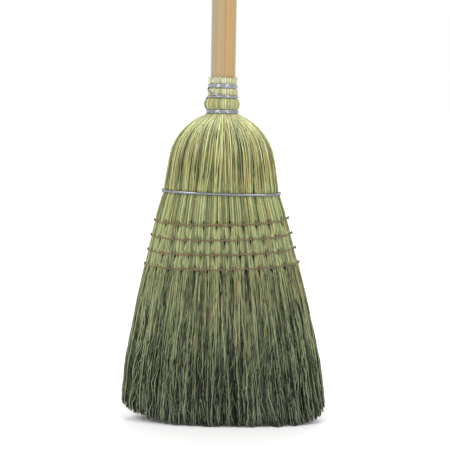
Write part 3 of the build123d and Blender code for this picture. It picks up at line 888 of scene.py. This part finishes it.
def skirt_fibres(settings, rng):
    """Fibres of the skirt: tuft of each, paths, outward directions, widths, thicknesses and tones."""
    number = settings.skirt_fibres
    last = len(ROW_Z) - 1
    angle = rng.permutation(even_angles(number, *LAST_ROW_HALF, rng))

    # Each fibre lies at the surface, just below it or deep inside; depth goes from 0 to 1 at the middle.
    layer = rng.choice(3, number, p=(0.28, 0.34, 0.38))
    depth_ranges = ((0, 0.05), (0.05, 0.3), (0.3, 0.95))
    depth = np.choose(layer, [rng.uniform(*ends, number) for ends in depth_ranges])
    drift_angle = 0.030
    drift = rng.normal(0, drift_angle, number)
    reach = np.clip(0.12 + 0.88 * np.sqrt(1 - depth), 0, 1)

    # Heights of its rings, from just above the last row of twine down to the worn tips.
    worn, lock_worn, short_share, short_cut = 0.0018, 0.0011, 0.12, (0.004, 0.045)
    above_row, loose_drop = 0.0015, 0.10
    top = row_height(last, np.cos(angle)) + above_row
    end_x = SKIRT_LEAN + TIP_HALF[0] * reach * np.cos(angle + drift)
    ragged = np.abs(rng.normal(0, worn, number)) + lock_worn * (1 + locks(end_x, 0, seed=5, finest=420))
    short = (rng.uniform(0, 1, number) < short_share) * rng.uniform(*short_cut, number)
    foot = trim_height(end_x) + ragged + short
    share = np.concatenate([[0.0, 0.012, 0.03, 0.055, 0.085, 0.12], np.linspace(0.16, 1.0, 18)])
    halfway = 12  # number of the ring that tells which tuft a fibre is in
    heights = top[:, None] + share * (foot - top)[:, None]
    below = top[:, None] - heights
    loose = np.clip(below / loose_drop, 0, 1)

    # Its place across: it drifts round, follows its lock, waves, and is gathered between two stitches.
    broad_sway, fine_sway, wave_size, stray_size = 0.0015, 0.0011, 0.0003, 0.0008
    gather_drop, gather_start = 0.045, 0.003
    parting, parting_reach = 0.0024, 0.0042
    middle = lean_at(heights)
    half_width, half_depth = half_width_at(heights), half_depth_at(heights)
    bearing = angle[:, None] + drift[:, None] * loose
    spot = reach[:, None] * np.cos(bearing)
    x = middle + half_width * spot
    inner = 1 - spot**6
    broad, fine = locks(x, heights, seed=7, finest=260), locks(x, heights, seed=8, finest=900)
    x += loose * inner * (broad_sway * broad + fine_sway * fine)
    wave = rng.uniform(90, 250, (number, 1))
    phase = rng.uniform(0, 2 * math.pi, (number, 1))
    stray = rng.exponential(stray_size, (number, 1))
    x += (wave_size + stray * inner) * loose * np.sin(heights * wave + phase)
    offset, sewn = stitch_offset(last, x - middle + lean_at(ROW_Z[-1]))
    gather = sewn * bell(below, gather_drop) * np.clip(below / gather_start, 0, 1)
    x += np.sign(offset) * gather * parting * np.exp(-np.abs(offset) / parting_reach)

    # Its place front to back: a groove runs down from each stitch, and the straw swells between two grooves.
    groove_depth, groove_half = 0.0052, 0.0032
    swell, swell_half = 0.0012, 0.0036
    surface_inset, belt_dent, belt_reach = 0.0006, 0.0012, 0.0030
    uneven = 0.04
    level = (1 - depth[:, None]) * (1 - uneven * loose * (1 + locks(x, heights, seed=9, finest=500)))
    groove = groove_depth * gather * bell(offset, groove_half)
    crown = swell * gather * bell(np.abs(offset) - STITCH_SPACING / 2, swell_half)
    inset = surface_inset + belt_dent * bell(below, belt_reach) + groove - crown
    y = level * np.sin(bearing) * (half_depth - inset)
    y += stray * 0.6 * loose * np.cos(heights * wave * 0.8 + phase)

    # Its width and tone, with painted shade: fibres are darker the deeper they lie, and in the cleft below
    # each stitch.
    darkest, cleft_dark, cleft_half = 0.94, 0.9, 0.0019
    width = settings.fibre_width * rng.uniform(0.5, 1.5, (number, 1)) * np.ones_like(heights)
    width *= np.interp(share, [0, 0.3, 1.0], [1.2, 1.05, 0.85])
    cleft = gather * bell(offset, cleft_half)
    dark = np.clip(depth * 4.0, 0, darkest)[:, None] + cleft_dark * cleft
    tones = shades(rng, number, np.clip(dark, 0, 0.96))
    tones["tone"] = 1.5 * rng.beta(0.55, 0.85, number) - 0.3
    tones["tone"] += 0.3 * locks(x[:, halfway], 0, seed=13, finest=2200)
    outward = np.stack([np.cos(bearing) / half_width, np.sin(bearing) / half_depth, np.zeros_like(x)], -1)
    tuft = (np.clip((spot[:, halfway] + 1) / 2, 0, 0.999) * TUFT_COUNT).astype(int)
    return tuft, np.stack([x, y, heights], -1), unit(outward), width, width * 0.75, tones


class BROOM_OT_skirt_straw(bpy.types.Operator):
    """Loose fibres below the last row of twine, in the tufts that the stitches part them into"""

    bl_idname = "broom.skirt_straw"
    bl_label = "Skirt straw"

    def execute(self, context):
        settings = context.scene.broom_straw
        finish = finish_of("straw", straw_finish, settings)
        tuft, *laid = skirt_fibres(settings, np.random.default_rng(23))
        for index in range(TUFT_COUNT):
            name = f"tuft_{index + 1:02d}"
            obj = chosen_stalks(f"{name}_straw", tuft == index, *laid, sides=3)
            dress(obj, finish)
            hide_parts(name)
            bend_at_hinge(obj)
        return {"FINISHED"}


class BROOM_OT_straw_heart(bpy.types.Operator):
    """The inner mass of straw, from the neck's base down into the skirt"""

    bl_idname = "broom.straw_heart"
    bl_label = "Straw heart"

    def execute(self, context):
        low, high = 0.016, NECK_BASE_Z - 0.001
        inset_z, insets = (0.0, 0.15, 0.30, 0.36), (0.010, 0.0050, 0.0034, 0.0030)
        ridge, fine_ridge, smooth_inset = 0.0005, 0.0004, 0.0006
        heart, share, angle = round_bar("inner_core_straw", 64, 72)
        z = low + (share + 0.5) * (high - low)
        points, outward = on_straw(angle, z, np.interp(z, inset_z, insets))
        points = pull_in(points, outward)
        ridges = ridge * np.sin(angle * 40) + fine_ridge * np.sin(angle * 93 + z * 60)
        points -= outward * (smooth_inset + ridges)[:, None]
        heart.data.vertices.foreach_set("co", points.astype(np.float32).ravel())
        for face in heart.data.polygons:
            face.use_smooth = True
        heart.data.update()
        dress(heart, finish_of("straw_heart", heart_finish, context.scene.broom_straw))
        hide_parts("inner_core")
        bend_at_hinge(heart)
        return {"FINISHED"}


# --- Wood and wire ---
class BROOM_OT_handle(bpy.types.Operator):
    """Turned handle with a rounded top, narrowing to its foot inside the straw"""

    bl_idname = "broom.handle"
    bl_label = "Handle"

    def execute(self, context):
        deselect()
        low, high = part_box("handle")
        shaft = high.z - COLLAR_TOP_Z
        middle = (high.z + COLLAR_TOP_Z) / 2
        place = (0, 0, middle)
        bpy.ops.mesh.primitive_cylinder_add(vertices=64, radius=HANDLE_RADIUS, depth=shaft, location=place)
        handle = settle(named("handle_wood"))

        def at_the_top(edge):
            return all(handle.data.vertices[index].co.z > high.z - 1e-4 for index in edge.vertices)

        in_edit_mode(handle, "EDGE", at_the_top)
        bpy.ops.mesh.bevel(offset=HANDLE_RADIUS * 0.97, segments=14, profile=0.5)
        bpy.ops.object.mode_set(mode="OBJECT")
        in_edit_mode(handle, "FACE", lambda face: face.normal.z < -0.9)
        foot = low.z - COLLAR_TOP_Z
        bpy.ops.mesh.extrude_region_move(TRANSFORM_OT_translate={"value": (0, 0, foot)})
        foot_taper = 0.0043
        taper = 1 - foot_taper / HANDLE_RADIUS
        bpy.ops.transform.resize(value=(taper, taper, 1))
        bpy.ops.object.mode_set(mode="OBJECT")
        bpy.ops.object.shade_smooth_by_angle(angle=math.radians(35))
        dress(handle, finish_of("lacquered_wood", wood_finish, context.scene.broom_handle))
        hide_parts("handle")
        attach(handle, HEAD)
        return {"FINISHED"}


def spokes(angle):
    """Level directions that point out from the middle of the handle."""
    return np.stack([np.cos(angle), np.sin(angle), np.zeros_like(angle)], -1)


def neck_wire_line(radius):
    """Middle line of the neck wire, three windings joined by two climbing strands, and outward directions."""
    step, climb_steps = math.radians(8), 18
    sunk, climb_sunk = 0.92, 0.9  # the wire lies this share of its radius off the straw
    unevenness = 0.0001
    sweeps = ((187, 1080), (178, 636), (165, 1155))  # angle where each winding starts, and how far it goes
    line = []
    for number, (start, sweep) in enumerate(sweeps):
        foot, turns, straw_radius = NECK_WRAPS[number]
        low = NECK_BASE_Z + foot + radius
        if line:
            last_angle, last_out, last_z = line[-1]
            climb = (last_angle - math.radians(start)) % (2 * math.pi)
            for index in range(1, climb_steps):
                share = index / climb_steps
                smooth = share * share * (3 - 2 * share)
                z = last_z + smooth * (low - last_z)
                straight = last_out + share * (straw_radius + radius - last_out)
                over = np.interp(z, NECK_OUTLINE[:, 0], NECK_OUTLINE[:, 1]) + radius * climb_sunk
                line.append((last_angle - climb * share, max(straight, over), z))
        steps = int(math.radians(sweep) / step)
        for index in range(steps + 1):
            share = index / steps
            angle = math.radians(start) - math.radians(sweep) * share
            z = low + (turns - 1) * 2 * radius * share + unevenness * math.sin(3 * angle + number)
            line.append((angle, straw_radius + radius * sunk, z))
    angle, out, z = np.array(line).T
    kernel = np.array([1, 2, 3, 2, 1]) / 9
    out[2:-2] = np.convolve(out, kernel, "valid")
    z[2:-2] = np.convolve(z, kernel, "valid")
    return out[:, None] * spokes(angle) + z[:, None] * np.array([0, 0, 1]), spokes(angle)


class BROOM_OT_neck_wire(bpy.types.Operator):
    """Wire wound round the neck in three bands"""

    bl_idname = "broom.neck_wire"
    bl_label = "Neck wire"

    def execute(self, context):
        settings = context.scene.broom_binding
        finish = finish_of("galvanised_wire", steel_finish, settings)
        line, outward = neck_wire_line(settings.neck_wire / 2)
        wire = tube("neck_wire", line, outward, settings.neck_wire, 10)
        dress(wire, finish)
        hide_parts("neck_winding_wire")
        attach(wire, HEAD)
        for node in ("wire_nail", "core_winding_wire"):
            hidden = frame["nodes"][node]
            hidden.data.materials.clear()
            hidden.data.materials.append(finish)
        return {"FINISHED"}


class BROOM_OT_shoulder_wire(bpy.types.Operator):
    """Heavy wire across the shoulders, with a turned knob at each side edge"""

    bl_idname = "broom.shoulder_wire"
    bl_label = "Shoulder wire"

    def execute(self, context):
        settings = context.scene.broom_binding
        thick = settings.shoulder_wire
        angle = np.linspace(0, 2 * math.pi, 121)
        sag, fine_sag = 0.0003, 0.0002
        waver = fine_sag * np.sin(3 * angle) + sag * np.sin(2 * angle + 1)
        x = BAND_HALF[0] * np.cos(angle)
        y = BAND_HALF[1] * np.sin(angle)
        z = BAND_Z - BAND_TILT * np.cos(angle) + waver
        made = [tube("loop", np.stack([x, y, z], -1), spokes(angle), thick, 14)]
        knob_turns, coil, gap, pitch = 1.35, 0.00175, 0.0002, 0.0006
        turn = np.linspace(0, 2 * math.pi * knob_turns, 22)
        for side in (-1, 1):
            knob_x = side * (BAND_HALF[0] + gap + pitch * turn / 8.5)
            knob_y = coil * np.cos(turn)
            knob_z = BAND_Z - side * BAND_TILT + coil * np.sin(turn)
            knob = np.stack([knob_x, knob_y, knob_z], -1)
            made.append(tube("knob", knob, (1, 0, 0), thick * 0.72, 10))
        wire = join("shoulder_wire", made)
        dress(wire, finish_of("galvanised_wire", steel_finish, settings))
        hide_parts("shoulder_band_wire")
        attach(wire, HEAD)
        return {"FINISHED"}


# --- Twine ---
def twisted(name, line, outward, diameter, lay):
    """Two plies of twine twisted round a line of points, with lay as the length of one twist."""
    ply_offset, ply_diameter = 0.235 * diameter, 0.60 * diameter
    steps = np.linalg.norm(np.diff(line, axis=0), axis=1)
    turn = 2 * math.pi * np.concatenate([[0], np.cumsum(steps)]) / lay
    along = unit(np.gradient(line, axis=0))
    across = unit(np.cross(along, outward))
    out = np.cross(across, along)
    plies = []
    for phase in (0, math.pi):
        swing = np.cos(turn + phase)[:, None] * across + np.sin(turn + phase)[:, None] * out
        plies.append(line + swing * ply_offset)
    paths = np.stack(plies)
    size = np.full(paths.shape[:2], ply_diameter)
    tones = {"tone": np.array([0.3, 0.7])}
    return stalk_mesh(name, paths, np.broadcast_to(outward, paths.shape), size, size, tones, 6)


def belt_point(row, angle):
    """Point on the middle line of a row's belt of twine, and its outward direction."""
    proud = 0.0002
    z = ROW_Z[row]
    halves = half_width_at(z) + proud, half_depth_at(z) + proud
    return on_oval(angle, *halves, lean_at(z), row_height(row, np.cos(angle)))


def stitch_places(row):
    """X of every stitch of a row, as in the CAD model."""
    limit = STITCH_REACH * half_width_at(ROW_Z[row])
    shift = STITCH_SHIFTS[row]
    first = -int((limit + shift) / STITCH_SPACING)
    last = int((limit - shift) / STITCH_SPACING)
    return [shift + number * STITCH_SPACING for number in range(first, last + 1)]


class BROOM_OT_twine_belts(bpy.types.Operator):
    """Belts of twisted twine round the head, knotted at both side edges"""

    bl_idname = "broom.twine_belts"
    bl_label = "Twine belts"

    def execute(self, context):
        settings = context.scene.broom_binding
        finish = finish_of("twisted_cord", twine_finish, settings)
        rng = np.random.default_rng(31)
        stitch_pull, stitch_half, stitch_skew = 0.0006, 0.0030, 0.0005
        broad_waver, fine_waver = 0.00028, 0.0002
        knot_turns, knot_radius, knot_gap, knot_pitch = 2.2, 0.0011, 0.0009, 0.0003
        angle = np.linspace(0, 2 * math.pi, 420)
        turn = np.linspace(0, 2 * math.pi * knot_turns, 34)
        for row in range(len(ROW_Z)):
            line, outward = belt_point(row, angle)
            offset, sewn = stitch_offset(row, line[:, 0])
            pull = stitch_pull * sewn * bell(offset, stitch_half)
            waver = broad_waver * np.sin(angle * 17 + rng.uniform(0, 6))
            waver = waver + fine_waver * np.sin(angle * 31 + rng.uniform(0, 6))
            skew = stitch_skew * sewn * np.sin(offset / STITCH_SPACING * 2 * math.pi)
            line = line - outward * pull[:, None]
            line[:, 2] += waver * np.abs(np.sin(angle)) + skew
            made = [twisted("belt", line, outward, settings.twine * 0.9, 0.0052)]
            for side in (-1, 1):
                out = half_width_at(ROW_Z[row]) + knot_gap + knot_pitch * np.sin(turn * 0.7)
                knot_x = lean_at(ROW_Z[row]) + side * out
                knot_y = knot_radius * np.cos(turn) + knot_pitch * np.sin(2.3 * turn)
                knot_z = ROW_Z[row] + side * ROW_TILT + knot_radius * 1.1 * np.sin(turn)
                knot = np.stack([knot_x, knot_y, knot_z], -1)
                made.append(tube("knot", knot, (1, 0, 0), settings.twine * 0.62, 6))
            belt = join(f"twine_belt_{row + 1}_cord", made)
            dress(belt, finish)
            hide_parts(f"twine_belt_{row + 1}")
            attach(belt, HEAD)
        return {"FINISHED"}


class BROOM_OT_twine_stitches(bpy.types.Operator):
    """Stitches that come out of the straw above each belt, cross it and go back in below"""

    bl_idname = "broom.twine_stitches"
    bl_label = "Twine stitches"

    def execute(self, context):
        settings = context.scene.broom_binding
        finish = finish_of("twisted_cord", twine_finish, settings)
        rng = np.random.default_rng(37)
        half_height, slant, rise, sunk = 0.0015, 0.0026, 0.0018, 0.0006
        share = np.linspace(-1.25, 1.25, 15)
        arch = rise * np.sqrt(np.maximum(0, 1 - (share / 1.26) ** 2)) - sunk
        for row in range(len(ROW_Z)):
            made = []
            half = half_width_at(ROW_Z[row])
            for x in stitch_places(row):
                for side in (-1, 1):
                    tilt = slant * rng.uniform(0.7, 1.3)
                    across = np.clip((x + tilt * (share + 1) / 2) / (half + 0.0002), -1, 1)
                    angle = side * np.arccos(across)
                    line, outward = belt_point(row, angle)
                    line[:, 2] -= share * half_height
                    line += outward * arch[:, None]
                    made.append(twisted("stitch", line, outward, settings.twine * 0.72, 0.0046))
            stitches = join(f"twine_stitches_{row + 1}_cord", made)
            dress(stitches, finish)
            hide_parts(f"twine_stitches_{row + 1}")
            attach(stitches, HEAD)
        return {"FINISHED"}


# --- Stage ---
def soft_light(name, azimuth, elevation, strength):
    """A wide, even light; azimuth 0 comes from the front and 90 from the right."""
    deselect()
    bpy.ops.object.light_add(type="SUN", location=(0, 0, 2))
    light = bpy.context.object
    light.name = name
    light.data.energy = strength
    light.data.angle = math.radians(24)
    azimuth, elevation = math.radians(azimuth), math.radians(elevation)
    flat = math.cos(elevation)
    source = Vector((flat * math.sin(azimuth), -flat * math.cos(azimuth), math.sin(elevation)))
    light.rotation_euler = source.to_track_quat("Z", "Y").to_euler()


class BROOM_OT_stage(bpy.types.Operator):
    """Camera, pale floor and soft studio lights"""

    bl_idname = "broom.stage"
    bl_label = "Stage"

    def execute(self, context):
        settings = context.scene.broom_stage
        pitch, roll = math.radians(6.9), math.radians(0.95)
        target = Vector((0.0051, 0, 0.236))
        forward = Vector((0, math.cos(pitch), -math.sin(pitch)))
        right = Vector((1, 0, 0))
        up = right.cross(forward)
        turned_right = math.cos(roll) * right + math.sin(roll) * up
        turned_up = math.cos(roll) * up - math.sin(roll) * right
        bpy.ops.object.camera_add()
        camera = bpy.context.object
        camera.name = "camera"
        camera.data.lens = settings.lens
        camera.data.sensor_width = 36
        camera.data.clip_end = 100
        place = target - forward * settings.distance
        axes = Matrix((turned_right, turned_up, -forward)).transposed()
        camera.matrix_world = Matrix.Translation(place) @ axes.to_4x4()
        context.scene.camera = camera

        deselect()
        bpy.ops.mesh.primitive_circle_add(vertices=96, radius=30, fill_type="NGON")
        floor = named("floor")
        finish = Finish("pale_floor", Roughness=0.9, Specular_IOR_Level=0.1)
        pale = tuple(settings.floor_colour)
        cloud = finish.ramp(finish.noise((3, 3, 3), 3.0), [(0.3, darker(pale, 0.98)), (0.7, pale)])
        floor.data.materials.append(finish.wear(Base_Color=cloud))

        soft_light("left_light", -43, 42, 1.0)
        soft_light("right_light", 43, 42, 0.8)
        soft_light("back_light", 170, 50, 0.6)
        world = bpy.data.worlds.new("studio")
        context.scene.world = world
        world.use_nodes = True
        background = world.node_tree.nodes["Background"]
        background.inputs["Color"].default_value = (1, 1, 1, 1)
        background.inputs["Strength"].default_value = 1.0
        context.scene.view_settings.view_transform = "Standard"
        return {"FINISHED"}


class BROOM_PT_panel(bpy.types.Panel):
    """Corn broom: sizes, colours and pieces"""

    bl_label = "Corn Broom"
    bl_idname = "BROOM_PT_panel"
    bl_space_type = "VIEW_3D"
    bl_region_type = "UI"
    bl_category = "Corn Broom"

    def draw(self, context):
        for group in SETTINGS:
            settings = getattr(context.scene, group)
            box = self.layout.box()
            for name in SETTINGS[group].__annotations__:
                box.prop(settings, name)
        for operator in OPERATORS:
            self.layout.operator(operator.bl_idname)


SETTINGS = {
    "broom_straw": StrawSettings,
    "broom_handle": HandleSettings,
    "broom_binding": BindingSettings,
    "broom_stage": StageSettings,
}
OPERATORS = (
    BROOM_OT_stage,
    BROOM_OT_handle,
    BROOM_OT_straw_heart,
    BROOM_OT_head_straw,
    BROOM_OT_skirt_straw,
    BROOM_OT_neck_wire,
    BROOM_OT_shoulder_wire,
    BROOM_OT_twine_belts,
    BROOM_OT_twine_stitches,
)


def register():
    for cls in (*SETTINGS.values(), *OPERATORS, BROOM_PT_panel):
        bpy.utils.register_class(cls)
    for name, cls in SETTINGS.items():
        setattr(bpy.types.Scene, name, bpy.props.PointerProperty(type=cls))


def unregister():
    for name in SETTINGS:
        delattr(bpy.types.Scene, name)
    for cls in (BROOM_PT_panel, *reversed(OPERATORS), *reversed(SETTINGS.values())):
        bpy.utils.unregister_class(cls)


def main():
    register()
    for operator in OPERATORS:
        group, name = operator.bl_idname.split(".")
        if getattr(getattr(bpy.ops, group), name)() != {"FINISHED"}:
            raise RuntimeError(f"{operator.bl_label} did not finish")


if __name__ == "__main__":
    main()
